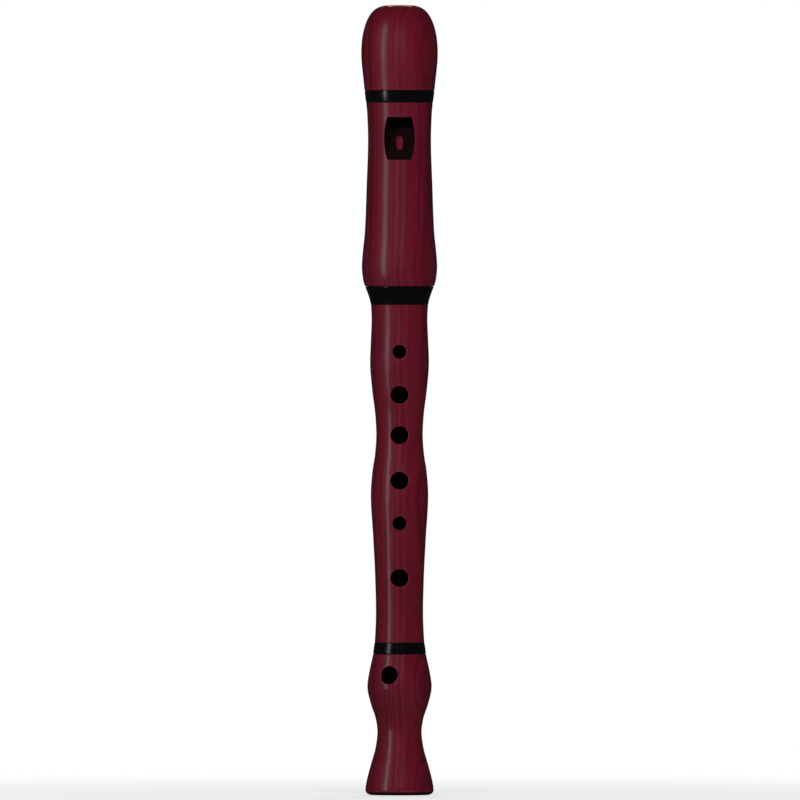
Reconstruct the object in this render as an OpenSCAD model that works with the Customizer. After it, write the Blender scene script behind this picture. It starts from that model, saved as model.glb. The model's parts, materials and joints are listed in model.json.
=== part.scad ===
// Soprano recorder in three turned joints, standing on the end of its foot.
// The axis of the bore is Z, the beak is at the top, and the finger holes face -Y.
// Every length is in millimetres.

/* [Length] */
// Length from the foot's end face to the tip of the beak
overall_length = 330; // [328:0.5:334]
// Height of the shoulder where the head meets the middle joint
head_seat_z = 204.7; // [204:0.1:206]
// Height of the shoulder where the foot meets the middle joint
foot_seat_z = 63.7; // [63:0.1:65]
// Height of the black ring round the head's socket
head_ring_h = 7.8; // [5:0.1:9]
// Height of the black ring round the foot's socket
foot_ring_h = 4.9; // [4:0.1:6.5]
// Height of the lower edge of the black ring under the beak
beak_ring_z = 289.1; // [288:0.1:291]
// Height of the black ring under the beak
beak_ring_h = 5.2; // [3:0.1:6]

/* [Turning] */
// Diameter of the bell at its end
bell_d = 28.6; // [27:0.1:30]
// Diameter of the foot's neck
foot_neck_d = 18.4; // [17.6:0.1:20]
// Diameter of the foot's bulb
foot_bulb_d = 26.9; // [25:0.1:28]
// Diameter of the neck above the foot
lower_neck_d = 19.7; // [19:0.1:21]
// Diameter of the swelling under the lower hand
lower_swell_d = 24; // [22:0.1:26]
// Diameter of the neck between the hands
hand_neck_d = 19.4; // [18.6:0.1:21]
// Diameter of the swelling under the upper hand
upper_swell_d = 24.6; // [23.6:0.1:27]
// Diameter of the neck below the head
upper_neck_d = 23.3; // [22.6:0.1:24.4]
// Diameter of the bulb over the head's socket
head_bulb_d = 31.5; // [29:0.1:33]
// Diameter of the head's waist, at the window
head_waist_d = 26.3; // [25.4:0.1:28]
// Greatest diameter of the beak
beak_d = 32; // [30:0.1:34]
// Height of the widest place of the beak
beak_crest_z = 309.7; // [306:0.1:312]
// Squareness of the beak's rounded end, where 2 is an ellipse
beak_squareness = 4.2; // [2:0.1:6]
// Width of the rounding at the bell's edge
bell_edge_w = 3; // [1:0.1:4]
// Height of the rounding at the bell's edge
bell_edge_h = 2; // [1:0.1:2.5]

/* [Beak cut] */
// Radius of the hollow cut at the back of the beak
beak_cut_r = 44; // [42:0.5:48]
// Distance behind the axis of the hollow cut at the tip, negative when in front
beak_cut_back = -1.5; // [-3:0.1:0]
// Height of the spigot above the ring, inside the beak
beak_spigot_h = 3; // [2:0.1:3.5]
// Diameter of the spigot inside the beak
beak_spigot_d = 21; // [20:0.1:22]

/* [Bore] */
// Diameter of the head's bore
head_bore_d = 14; // [13.6:0.1:14.2]
// Diameter of the middle joint's bore at its upper end
middle_bore_top_d = 12.4; // [12:0.1:12.8]
// Diameter of the middle joint's bore at its lower end
middle_bore_end_d = 9.6; // [9.5:0.1:10.2]
// Diameter of the foot's bore
foot_bore_d = 10.4; // [10:0.1:11]
// Diameter of the bore that a stand's peg fits, at the end of the foot
peg_bore_d = 12; // [11:0.1:13]
// Depth of the bore for a stand's peg
peg_bore_depth = 15; // [8:0.5:20]
// Width of the bevel at the mouth of that bore
peg_bevel = 0.5; // [0.2:0.1:1]

/* [Windway and window] */
// Width of the windway
windway_w = 10; // [9:0.1:10.6]
// Distance of the windway's floor in front of the axis
windway_floor = 6.65; // [6.5:0.05:6.8]
// Height of the windway from its floor to its roof
windway_h = 1.1; // [0.8:0.05:1.3]
// Bevel at the end of the windway
windway_bevel = 0.8; // [0.4:0.1:1.2]
// Height of the window's upper edge, where the windway ends
window_top_z = 283.1; // [282:0.1:285]
// Height of the whole cut, window and ramp
window_h = 17.9; // [16.5:0.1:19]
// Width of the cut at the middle of its height
window_w = 12.8; // [12:0.1:14]
// Amount that each side of the cut bows outwards
window_bow = 1.4; // [0.6:0.1:2]
// Length of the open window, from the windway to the edge that splits the air
window_opening = 4.4; // [4:0.1:5]
// Distance of the underside of that edge in front of the axis
edge_inner = 7; // [6.9:0.05:7.2]
// Thickness of that edge
edge_t = 0.25; // [0.2:0.05:0.5]
// Length of the flat under that edge
edge_flat_h = 7; // [4:0.5:9]
// Distance of the ramp's lower end in front of the axis
ramp_outer = 11.8; // [11.4:0.1:12.6]

/* [Finger holes] */
// Heights of the upper hand's three holes
upper_hole_z = [185.1, 167.1, 150.3]; // [146:0.1:192]
// Heights of the lower hand's three holes
lower_hole_z = [131.3, 113.5, 90.7]; // [80:0.1:140]
// Height of the thumb hole
thumb_hole_z = 191.5; // [188:0.1:196]
// Height of the foot's hole
foot_hole_z = 50.1; // [48:0.1:50.2]
// Turn of the foot's hole towards the little finger
foot_hole_turn = 20.4; // [0:0.1:30]
// Diameter of the larger holes
large_hole_d = 7.3; // [5:0.1:7.4]
// Diameter of the smaller holes
small_hole_d = 5.6; // [4:0.1:6]
// Diameter of the thumb hole
thumb_hole_d = 6; // [5:0.1:6.5]
// Width of the softened rim of a hole
hole_rim = 0.5; // [0.2:0.1:0.8]

/* [Tenons] */
// Length of the upper tenon
upper_tenon_l = 20.8; // [18:0.1:24]
// Diameter of the upper tenon
upper_tenon_d = 16.9; // [16.6:0.1:17]
// Diameter of the head's socket
head_socket_d = 17.2; // [17.1:0.05:17.4]
// Diameter of the spigot inside the head's socket ring
head_spigot_d = 20.8; // [20:0.1:21.4]
// Length of the lower tenon, which ends above the foot's hole
lower_tenon_l = 9.2; // [8:0.1:9.4]
// Diameter of the lower tenon
lower_tenon_d = 14.9; // [14.6:0.1:15]
// Diameter of the foot's socket
foot_socket_d = 15.2; // [15.1:0.05:15.4]
// Diameter of the spigot inside the foot's socket ring
foot_spigot_d = 18; // [17.4:0.1:18.4]
// Depth of the groove for a tenon's cork
cork_groove = 0.9; // [0.6:0.05:1]
// Width of the wooden collar on each side of a cork
tenon_collar = 1.5; // [1:0.1:2]

/* [Hidden] */

$fn = 96;
stained_wood = "#5c0f23";
black = "#141214";
cedar = "#b98a62";
cork = "#c39a6b";

// Radial gap of a running fit, gap under a ring's face, and overshoot of a cutting shape
fit_gap = 0.03;
face_gap = 0.05;
socket_end_gap = 0.2;
past = 1;
turn_step = 2;
dome_step = 6;
edge_step = 15;

head_ring_top_z = head_seat_z + head_ring_h;
foot_ring_base_z = foot_seat_z - foot_ring_h;
beak_seat_z = beak_ring_z + beak_ring_h;
beak_spigot_top_z = beak_seat_z + beak_spigot_h;
dome_h = overall_length - beak_crest_z;
windway_roof = windway_floor + windway_h;
window_end_z = window_top_z - window_h;
edge_z = window_top_z - window_opening;
upper_tenon_top_z = head_seat_z + upper_tenon_l;
lower_tenon_end_z = foot_seat_z - lower_tenon_l;

// ---- The turned outline ----

// A radius between two diameters, as a share of the way from the first to the second
function between(from_d, to_d, share) = (from_d + (to_d - from_d) * share) / 2;

// Heights and radii from the bell to the widest place of the beak.
// The crests and necks are the named diameters, and the stations between them shape each curve.
stations = [
    [bell_edge_h, bell_d / 2],
    [5, between(foot_neck_d, bell_d, 0.92)],
    [13, between(foot_neck_d, bell_d, 0.53)],
    [20, between(foot_neck_d, bell_d, 0.15)],
    [26.5, foot_neck_d / 2],
    [32, between(foot_neck_d, foot_bulb_d, 0.18)],
    [38.5, between(foot_neck_d, foot_bulb_d, 0.69)],
    [45.3, foot_bulb_d / 2],
    [51.5, between(lower_neck_d, foot_bulb_d, 0.77)],
    [59, between(lower_neck_d, foot_bulb_d, 0.33)],
    [66, between(lower_neck_d, foot_bulb_d, 0.1)],
    [76.5, lower_neck_d / 2],
    [90, between(lower_neck_d, lower_swell_d, 0.14)],
    [107, between(lower_neck_d, lower_swell_d, 0.53)],
    [125.5, lower_swell_d / 2],
    [135, between(hand_neck_d, lower_swell_d, 0.72)],
    [143, between(hand_neck_d, lower_swell_d, 0.2)],
    [150.5, hand_neck_d / 2],
    [158, between(hand_neck_d, upper_swell_d, 0.14)],
    [170, between(hand_neck_d, upper_swell_d, 0.7)],
    [180.5, upper_swell_d / 2],
    [190, between(upper_neck_d, upper_swell_d, 0.5)],
    [198.5, upper_neck_d / 2],
    [205, between(upper_neck_d, head_bulb_d, 0.08)],
    [209, between(upper_neck_d, head_bulb_d, 0.32)],
    [214.5, between(upper_neck_d, head_bulb_d, 0.84)],
    [220.7, head_bulb_d / 2],
    [228, between(head_waist_d, head_bulb_d, 0.8)],
    [235, between(head_waist_d, head_bulb_d, 0.52)],
    [255, between(head_waist_d, head_bulb_d, 0.22)],
    [273.5, head_waist_d / 2],
    [284, between(head_waist_d, beak_d, 0.11)],
    [297, between(head_waist_d, beak_d, 0.61)],
    [beak_crest_z, beak_d / 2],
];
last = len(stations) - 1;

function span(k) = stations[k + 1][0] - stations[k][0];
function pitch(k) = (stations[k + 1][1] - stations[k][1]) / span(k);

// Slope of the curve at a station: level at each crest and neck, else a weighted harmonic mean
function slope(k) =
    k == 0 || k == last || pitch(k - 1) * pitch(k) <= 0 ? 0 :
    let (lower = 2 * span(k) + span(k - 1), upper = span(k) + 2 * span(k - 1))
    (lower + upper) / (lower / pitch(k - 1) + upper / pitch(k));

// The station at or below a height
function station_below(z, k = 0) = k == last - 1 || stations[k + 1][0] > z ? k : station_below(z, k + 1);

// Radius of the turned outside at a height, on a cubic curve between two stations
function radius_at(z) =
    let (k = station_below(z), h = span(k), t = (z - stations[k][0]) / h)
    stations[k][1] * (1 + 2 * t) * (1 - t) * (1 - t)
    + stations[k + 1][1] * t * t * (3 - 2 * t)
    + h * t * (1 - t) * (slope(k) * (1 - t) - slope(k + 1) * t);

// Outline points from one height to another
function outline(z0, z1) =
    let (steps = ceil((z1 - z0) / turn_step))
    [for (k = [0 : steps]) let (z = z0 + (z1 - z0) * k / steps) [radius_at(z), z]];

// The rounded end of the beak, and the rounded edge of the bell
function beak_dome() = [
    for (a = [dome_step : dome_step : 90])
    [beak_d / 2 * pow(cos(a), 2 / beak_squareness), beak_crest_z + dome_h * sin(a)]
];
function bell_edge() = [
    for (a = [0 : edge_step : 90 - edge_step])
    [bell_d / 2 - bell_edge_w * (1 - sin(a)), bell_edge_h * (1 - cos(a))]
];

// The turned outside of the beak, solid to the axis, from a height up to the tip
module turned_tip(z0) {
    rotate_extrude()
        polygon(concat([[0, z0]], outline(z0, beak_crest_z), beak_dome()));
}

// A ring under the turned outline, with a straight bore
module turned_ring(z0, z1, bore_r) {
    rotate_extrude()
        polygon(concat([[bore_r, z0]], outline(z0, z1), [[bore_r, z1]]));
}

// A tube between two heights
module tube(z0, z1, inner_r, outer_r) {
    rotate_extrude()
        translate([inner_r, z0])
            square([outer_r - inner_r, z1 - z0]);
}

// ---- Cuts ----

module bore(z0, z1, d0, d1) {
    translate([0, 0, z0])
        cylinder(d1 = d0, d2 = d1, h = z1 - z0);
}

// A hole from the axis out through the front wall, with a softened rim at the surface
module finger_hole(z, d) {
    rim_depth = 0.9;
    surface = radius_at(z);
    flare = hole_rim * (rim_depth + past) / rim_depth;
    translate([0, 0, z])
        rotate([90, 0, 0]) {
            cylinder(d = d, h = surface + past);
            translate([0, 0, surface - rim_depth])
                cylinder(d1 = d, d2 = d + 2 * flare, h = rim_depth + past);
        }
}

// A prism across the instrument from a list of [distance in front of the axis, height]
module across(w, points) {
    translate([-w / 2, 0, 0])
        rotate([90, 0, 90])
            linear_extrude(w)
                polygon([for (p = points) [-p[0], p[1]]]);
}

// The windway's groove in the front of the bore, open at the tip
module windway(z0) {
    groove_back = 3;
    across(windway_w, [
        [groove_back, z0], [windway_roof, z0],
        [windway_roof, overall_length + past], [groove_back, overall_length + past],
    ]);
}

// The window's outline seen from the front: level ends and bowed sides
module window_outline() {
    bow_r = window_h * window_h / (8 * window_bow) + window_bow / 2;
    translate([0, window_end_z + window_h / 2])
        intersection() {
            square([window_w, window_h], center = true);
            translate([bow_r - window_w / 2, 0])
                circle(r = bow_r, $fn = 360);
            translate([window_w / 2 - bow_r, 0])
                circle(r = bow_r, $fn = 360);
        }
}

// The window and the ramp that rises from its edge to the surface
module window_cut() {
    reach = head_waist_d;
    opening_back = 4;
    intersection() {
        rotate([90, 0, 0])
            linear_extrude(reach)
                window_outline();
        across(window_w + past, [
            [opening_back, window_top_z + past], [opening_back, edge_z], [edge_inner + edge_t, edge_z],
            [ramp_outer, window_end_z], [ramp_outer, window_end_z - past],
            [reach, window_end_z - past], [reach, window_top_z + past],
        ]);
    }
}

// The bevel on the roof of the windway where it meets the window
module roof_bevel() {
    across(windway_w, [
        [windway_roof - past, window_top_z - past],
        [windway_roof + windway_bevel, window_top_z - past],
        [windway_roof + windway_bevel, window_top_z],
        [windway_roof, window_top_z + windway_bevel],
        [windway_roof - past, window_top_z + windway_bevel],
    ]);
}

// The flat under the edge, which lies wider than the round bore reaches
module edge_underside() {
    flat_back = 3;
    across(windway_w, [
        [flat_back, edge_z - edge_flat_h], [edge_inner, edge_z - edge_flat_h],
        [edge_inner, edge_z + past], [flat_back, edge_z + past],
    ]);
}

// The hollow at the back of the beak
module beak_cut() {
    translate([-beak_d, beak_cut_back + beak_cut_r, overall_length])
        rotate([0, 90, 0])
            cylinder(r = beak_cut_r, h = 2 * beak_d, $fn = 360);
}

// ---- Head ----

module head_joint() {
    color(stained_wood)
        difference() {
            rotate_extrude()
                polygon(concat(
                    [[0, head_seat_z], [head_spigot_d / 2, head_seat_z], [head_spigot_d / 2, head_ring_top_z]],
                    outline(head_ring_top_z, beak_ring_z),
                    [[beak_spigot_d / 2, beak_ring_z], [beak_spigot_d / 2, beak_spigot_top_z]],
                    [[0, beak_spigot_top_z]]
                ));
            bore(head_seat_z - past, upper_tenon_top_z + socket_end_gap, head_socket_d, head_socket_d);
            bore(head_seat_z, beak_spigot_top_z + past, head_bore_d, head_bore_d);
            windway(edge_z);
            window_cut();
            roof_bevel();
            edge_underside();
        }
}

module beak() {
    color(stained_wood)
        difference() {
            turned_tip(beak_seat_z);
            bore(beak_seat_z - past, beak_spigot_top_z, beak_spigot_d, beak_spigot_d);
            bore(beak_seat_z, overall_length + past, head_bore_d, head_bore_d);
            windway(beak_seat_z);
            beak_cut();
        }
}

module beak_ring() {
    color(black)
        turned_ring(beak_ring_z, beak_seat_z, beak_spigot_d / 2);
}

module block() {
    length = overall_length - window_top_z;
    radius = head_bore_d / 2 - fit_gap;
    floor_w = windway_w - 2 * fit_gap;
    color(cedar)
        difference() {
            intersection() {
                union() {
                    bore(window_top_z, overall_length, 2 * radius, 2 * radius);
                    translate([-floor_w / 2, -windway_floor, window_top_z])
                        cube([floor_w, windway_floor, length]);
                }
                turned_tip(window_top_z);
            }
            translate([-head_bore_d, -windway_floor - head_bore_d, window_top_z - past])
                cube([2 * head_bore_d, head_bore_d, length + 2 * past]);
            across(windway_w + 2 * past, [
                [windway_floor + past, window_top_z - past],
                [windway_floor - windway_bevel - past, window_top_z - past],
                [windway_floor + past, window_top_z + windway_bevel + past],
            ]);
            beak_cut();
        }
}

module head_socket_ring() {
    color(black)
        turned_ring(head_seat_z, head_ring_top_z - face_gap, head_spigot_d / 2 + fit_gap);
}

// ---- Middle ----

// Points of a tenon with a groove for its cork, from one end to the other
function tenon(z0, z1, d) =
    let (r = d / 2, groove_r = r - cork_groove, low = min(z0, z1), high = max(z0, z1))
    [
        [r, low], [r, low + tenon_collar], [groove_r, low + tenon_collar],
        [groove_r, high - tenon_collar], [r, high - tenon_collar], [r, high],
    ];

module middle_joint() {
    color(stained_wood)
        difference() {
            rotate_extrude()
                polygon(concat(
                    [[0, lower_tenon_end_z]],
                    tenon(lower_tenon_end_z, foot_seat_z, lower_tenon_d),
                    outline(foot_seat_z, head_seat_z),
                    tenon(head_seat_z, upper_tenon_top_z, upper_tenon_d),
                    [[0, upper_tenon_top_z]]
                ));
            bore(lower_tenon_end_z, upper_tenon_top_z, middle_bore_end_d, middle_bore_top_d);
            finger_hole(upper_hole_z[0], small_hole_d);
            finger_hole(upper_hole_z[1], large_hole_d);
            finger_hole(upper_hole_z[2], large_hole_d);
            finger_hole(lower_hole_z[0], large_hole_d);
            finger_hole(lower_hole_z[1], small_hole_d);
            finger_hole(lower_hole_z[2], large_hole_d);
            rotate([0, 0, 180])
                finger_hole(thumb_hole_z, thumb_hole_d);
        }
}

// The cork in a tenon's groove, standing proud of the tenon to grip the socket
module tenon_cork(z0, z1, d, socket_d) {
    color(cork)
        tube(z0 + tenon_collar, z1 - tenon_collar, d / 2 - cork_groove, socket_d / 2 - fit_gap);
}

module upper_tenon_cork() {
    tenon_cork(head_seat_z, upper_tenon_top_z, upper_tenon_d, head_socket_d);
}

module lower_tenon_cork() {
    tenon_cork(lower_tenon_end_z, foot_seat_z, lower_tenon_d, foot_socket_d);
}

// ---- Foot ----

module foot_joint() {
    color(stained_wood)
        difference() {
            rotate_extrude()
                polygon(concat(
                    [[0, 0]],
                    bell_edge(),
                    outline(bell_edge_h, foot_ring_base_z),
                    [[foot_spigot_d / 2, foot_ring_base_z], [foot_spigot_d / 2, foot_seat_z], [0, foot_seat_z]]
                ));
            bore(-past, peg_bore_depth, peg_bore_d, peg_bore_d);
            bore(0, peg_bevel, peg_bore_d + 2 * peg_bevel, peg_bore_d);
            bore(0, foot_seat_z, foot_bore_d, foot_bore_d);
            bore(lower_tenon_end_z - socket_end_gap, foot_seat_z + past, foot_socket_d, foot_socket_d);
            rotate([0, 0, -foot_hole_turn])
                finger_hole(foot_hole_z, large_hole_d);
        }
}

module foot_socket_ring() {
    color(black)
        turned_ring(foot_ring_base_z + face_gap, foot_seat_z, foot_spigot_d / 2 + fit_gap);
}

head_joint();
beak();
beak_ring();
block();
head_socket_ring();
middle_joint();
upper_tenon_cork();
lower_tenon_cork();
foot_joint();
foot_socket_ring();
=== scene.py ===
"""Soprano recorder: turned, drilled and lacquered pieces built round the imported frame."""

import json
import math

import bmesh
import bpy
import numpy as np
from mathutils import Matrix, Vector


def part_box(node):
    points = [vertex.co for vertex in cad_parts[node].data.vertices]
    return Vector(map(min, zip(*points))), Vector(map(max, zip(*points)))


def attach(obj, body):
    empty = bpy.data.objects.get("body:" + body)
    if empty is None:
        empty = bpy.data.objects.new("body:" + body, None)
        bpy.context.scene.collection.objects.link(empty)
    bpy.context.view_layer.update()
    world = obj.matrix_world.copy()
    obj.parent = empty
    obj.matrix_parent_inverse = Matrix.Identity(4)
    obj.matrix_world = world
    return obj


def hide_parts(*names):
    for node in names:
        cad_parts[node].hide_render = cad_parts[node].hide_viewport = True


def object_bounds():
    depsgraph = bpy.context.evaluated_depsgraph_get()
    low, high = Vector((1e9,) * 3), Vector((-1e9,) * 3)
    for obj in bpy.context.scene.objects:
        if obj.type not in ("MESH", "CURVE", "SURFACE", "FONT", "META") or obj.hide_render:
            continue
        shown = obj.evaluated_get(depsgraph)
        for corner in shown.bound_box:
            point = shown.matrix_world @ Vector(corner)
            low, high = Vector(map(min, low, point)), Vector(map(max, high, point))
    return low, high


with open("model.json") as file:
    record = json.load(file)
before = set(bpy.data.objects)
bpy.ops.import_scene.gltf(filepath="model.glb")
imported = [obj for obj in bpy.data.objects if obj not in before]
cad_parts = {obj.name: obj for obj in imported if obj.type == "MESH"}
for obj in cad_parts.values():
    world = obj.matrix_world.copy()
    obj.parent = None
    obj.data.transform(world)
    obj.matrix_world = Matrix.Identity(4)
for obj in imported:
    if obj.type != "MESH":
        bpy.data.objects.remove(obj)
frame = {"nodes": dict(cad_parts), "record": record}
cad_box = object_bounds()
nodes = frame["nodes"]

MM = 0.001

# Columns of points round each kind of form, and the spacing of a turned outline's rows.
COLUMNS = 128
BORE_COLUMNS = 96
CORK_COLUMNS = 192
BEAK_COLUMNS = 320
ROW_PITCH = 0.6 * MM

# The part of the grid round a finger hole that is rebuilt to fit the hole's edge, and how far from the
# axis the hole ends, inside the bore.
HOLE_HALF_COLUMNS = 12
HOLE_HALF_ROWS = 10
HOLE_END = 2 * MM

# Softened edges, and the crown of a ring.
SEAM_SOFT = 0.2 * MM
RING_SOFT = 0.35 * MM
RING_CROWN = 0.1 * MM
RIM_SOFT = 0.5 * MM
WINDOW_SOFT = 0.25 * MM
BEAK_SOFT = 1.3 * MM

# Clearances, as in the CAD model, and how far a cutting tool reaches past what it cuts.
FIT_GAP = 0.03 * MM
FACE_GAP = 0.05 * MM
SOCKET_END_GAP = 0.2 * MM
PAST = 1 * MM

# The window, measured from the end of the windway, and levels in front of the axis. CUT_END is the
# level, inside the bore, at which the tools that open the window and the windway end.
WINDOW_HEIGHT = 17.9 * MM
WINDOW_WIDTH = 12.8 * MM
WINDOW_BOW = 1.4 * MM
WINDOW_OPENING = 4.4 * MM
WINDWAY_WIDTH = 10 * MM
WINDWAY_FLOOR = 6.65 * MM
WINDWAY_ROOF = 7.75 * MM
WINDWAY_BEVEL = 0.8 * MM
EDGE_INNER = 7 * MM
EDGE_OUTER = 7.25 * MM
EDGE_FLAT = 7 * MM
RAMP_OUTER = 11.8 * MM
CUT_END = 3 * MM

# The beak: the squareness of its rounded end, and the hollow cut at its back.
BEAK_SQUARENESS = 4.2
BEAK_CUT_RADIUS = 44 * MM
BEAK_CUT_BACK = -1.5 * MM

# The rounded edge of the bell, and the bevels and soft edges at the mouths of the bores.
BELL_EDGE_WIDTH = 3 * MM
BELL_EDGE_HEIGHT = 2 * MM
PEG_BEVEL = 0.5 * MM
PEG_CONE = 0.4 * MM
FOOT_SOCKET_BEVEL = 0.25 * MM
HEAD_SOCKET_BEVEL = 0.4 * MM
BORE_BEVEL = 0.3 * MM
TENON_SOFT = 0.4 * MM


# ---- Sizes read from the frame ----

def values_of(items, name, width=1, kind=float):
    """One property of all of a mesh's vertices, corners or faces, as an array."""
    values = np.empty(len(items) * width, kind)
    items.foreach_get(name, values)
    return values.reshape(-1, width) if width > 1 else values


def points_of(piece):
    return values_of(piece.data.vertices, "co", 3)


def span_of(node):
    """Lowest and highest height of a CAD node."""
    low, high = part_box(node)
    return low.z, high.z


def radii_near(node, height):
    """Smallest and largest radius of a CAD node's points near a height."""
    within = 0.3 * MM
    points = points_of(nodes[node])
    near = points[abs(points[:, 2] - height) < within]
    radius = np.hypot(near[:, 0], near[:, 1])
    return radius.min(), radius.max()


foot_ring_z = span_of("foot_socket_ring")
head_ring_z = span_of("head_socket_ring")
beak_ring_z = span_of("beak_ring")
middle_z = span_of("middle_joint")
head_z = span_of("head_joint")
tip_z = cad_box[1].z
block_z = span_of("block")[0]
foot_shoulder_z = foot_ring_z[0] - FACE_GAP
head_shoulder_z = head_ring_z[1] + FACE_GAP
foot_socket_r, foot_spigot_r = radii_near("foot_joint", foot_ring_z[1])
head_socket_r, head_spigot_r = radii_near("head_joint", head_z[0])
head_bore_r, beak_spigot_r = radii_near("head_joint", head_z[1])
lower_bore_r, lower_tenon_r = radii_near("middle_joint", middle_z[0])
upper_bore_r, upper_tenon_r = radii_near("middle_joint", middle_z[1])
peg_bore = next(mount for mount in frame["record"]["mounts"] if mount["name"] == "stand_peg_bore")
peg_r = peg_bore["dims"]["r_mm"] * MM
peg_depth = peg_bore["dims"]["length_mm"] * MM + PEG_BEVEL
foot_bore_r = radii_near("foot_joint", peg_depth)[0]


def ring_radii(node, low, high):
    """Height and radius of each full ring of points on the outside of a turned CAD node."""
    nearby, fewest_points, least_share = 1.2 * MM, 12, 0.9
    points = points_of(nodes[node])
    radius = np.hypot(points[:, 0], points[:, 1])
    height = np.round(points[:, 2], 6)
    rings = []
    for level in np.unique(height[(height >= low) & (height <= high)]):
        at_level = radius[height == level]
        widest = radius[abs(height - level) < nearby].max()
        full = np.sum(at_level > at_level.max() - 0.01 * MM) >= fewest_points
        if full and at_level.max() > least_share * widest:
            rings.append((level, at_level.max()))
    return rings


def turned_outline():
    """Heights and radii of the whole turned outline, smoothed between the CAD model's rings."""
    rings = ring_radii("foot_joint", 0.95 * BELL_EDGE_HEIGHT, foot_shoulder_z)
    rings += ring_radii("foot_socket_ring", *foot_ring_z)
    rings += ring_radii("middle_joint", foot_ring_z[1], head_ring_z[0])
    rings += ring_radii("head_socket_ring", *head_ring_z)
    rings += ring_radii("head_joint", head_shoulder_z, beak_ring_z[0])
    rings += ring_radii("beak_ring", *beak_ring_z)
    beak = ring_radii("beak", beak_ring_z[1], tip_z)
    crest = max(beak, key=lambda ring: ring[1])
    rings += [ring for ring in beak if ring[0] <= crest[0]]
    rings.sort()
    levels, radii = np.array(rings).T
    step, reach, spread = 0.2 * MM, 25, 7.0
    height = np.arange(levels[0], levels[-1] + step / 2, step)
    straight = np.interp(height, levels, radii)
    kernel = np.exp(-0.5 * (np.arange(-reach, reach + 1) / spread) ** 2)
    kernel /= kernel.sum()

    def smoothed(values):
        return np.convolve(np.pad(values, reach, mode="reflect"), kernel, mode="valid")

    once = smoothed(straight)
    return height, once + smoothed(straight - once), crest


outline_z, outline_r, (crest_z, crest_r) = turned_outline()
outline_slope = np.gradient(outline_r, outline_z)
foot_edge_z = outline_z[0]


def radius_at(z):
    return np.interp(z, outline_z, outline_r)


def slope_at(z):
    return np.interp(z, outline_z, outline_slope)


def circle_of(across, up):
    """Centre and radius of the circle that best fits a group of points."""
    terms = np.column_stack([2 * across, 2 * up, np.ones(len(up))])
    x, z, c = np.linalg.lstsq(terms, across ** 2 + up ** 2, rcond=None)[0]
    return x, z, math.sqrt(c + x * x + z * z)


def holes_of(node, low, high):
    """Turn, height and radius of each finger hole in a CAD node, from the circle where its rim begins."""
    least_depth, most_depth, least_gap = 0.12 * MM, 1.5 * MM, 3 * MM
    points = points_of(nodes[node])
    depth = radius_at(points[:, 2]) - np.hypot(points[:, 0], points[:, 1])
    near = (depth > least_depth) & (depth < most_depth) & (points[:, 2] > low) & (points[:, 2] < high)
    rim = np.unique(np.round(points[near], 6), axis=0)
    rim = rim[np.lexsort((rim[:, 2], rim[:, 1] > 0))]
    apart = (abs(np.diff(rim[:, 2])) > least_gap) | np.diff(rim[:, 1] > 0)
    found = []
    for group in np.split(rim, np.nonzero(apart)[0] + 1):
        turn = math.atan2(group[:, 0].mean(), -group[:, 1].mean())
        for _ in range(3):
            across = group[:, 0] * math.cos(turn) + group[:, 1] * math.sin(turn)
            out = group[:, 0] * math.sin(turn) - group[:, 1] * math.cos(turn)
            deepest = out < out.min() + 0.1 * MM
            x, z, radius = circle_of(across[deepest], group[deepest, 2])
            turn += x / out.min()
        found.append((turn, z, radius))
    return found


# ---- Turned pieces ----

def softened(profile, corners, steps=4):
    """A profile of (radius, height) with a fillet of the given radius at each listed corner."""
    made = []
    for k, point in enumerate(profile):
        soft = corners.get(k)
        if not soft:
            made.append(tuple(point))
            continue
        here = np.array(point)
        back = np.array(profile[k - 1]) - here
        ahead = np.array(profile[(k + 1) % len(profile)]) - here
        back_length, ahead_length = np.linalg.norm(back), np.linalg.norm(ahead)
        back, ahead = back / back_length, ahead / ahead_length
        half = math.acos(np.clip(back @ ahead, -1, 1)) / 2
        reach = min(soft / math.tan(half), 0.95 * back_length, 0.95 * ahead_length)
        soft = reach * math.tan(half)
        centre = here + (back + ahead) / np.linalg.norm(back + ahead) * soft / math.sin(half)
        start, end = here + back * reach - centre, here + ahead * reach - centre
        for share in np.linspace(0, 1, steps + 1):
            spoke = start * (1 - share) + end * share
            made.append(tuple(centre + spoke / np.linalg.norm(spoke) * soft))
    return made


def outer_run(low, high, crown=0.0):
    """Profile points along the turned outline, with a crown that is highest in the middle."""
    rows = max(2, round((high - low) / ROW_PITCH))
    made = []
    for k in range(rows + 1):
        z = low + (high - low) * k / rows
        made.append((radius_at(z) + crown * math.sin(math.pi * k / rows), z))
    return made


def link(name, points, faces):
    """A new object in the scene, from points and faces."""
    mesh = bpy.data.meshes.new(name)
    mesh.from_pydata([tuple(map(float, p)) for p in points], [], faces)
    piece = bpy.data.objects.new(name, mesh)
    bpy.context.scene.collection.objects.link(piece)
    return piece


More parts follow.
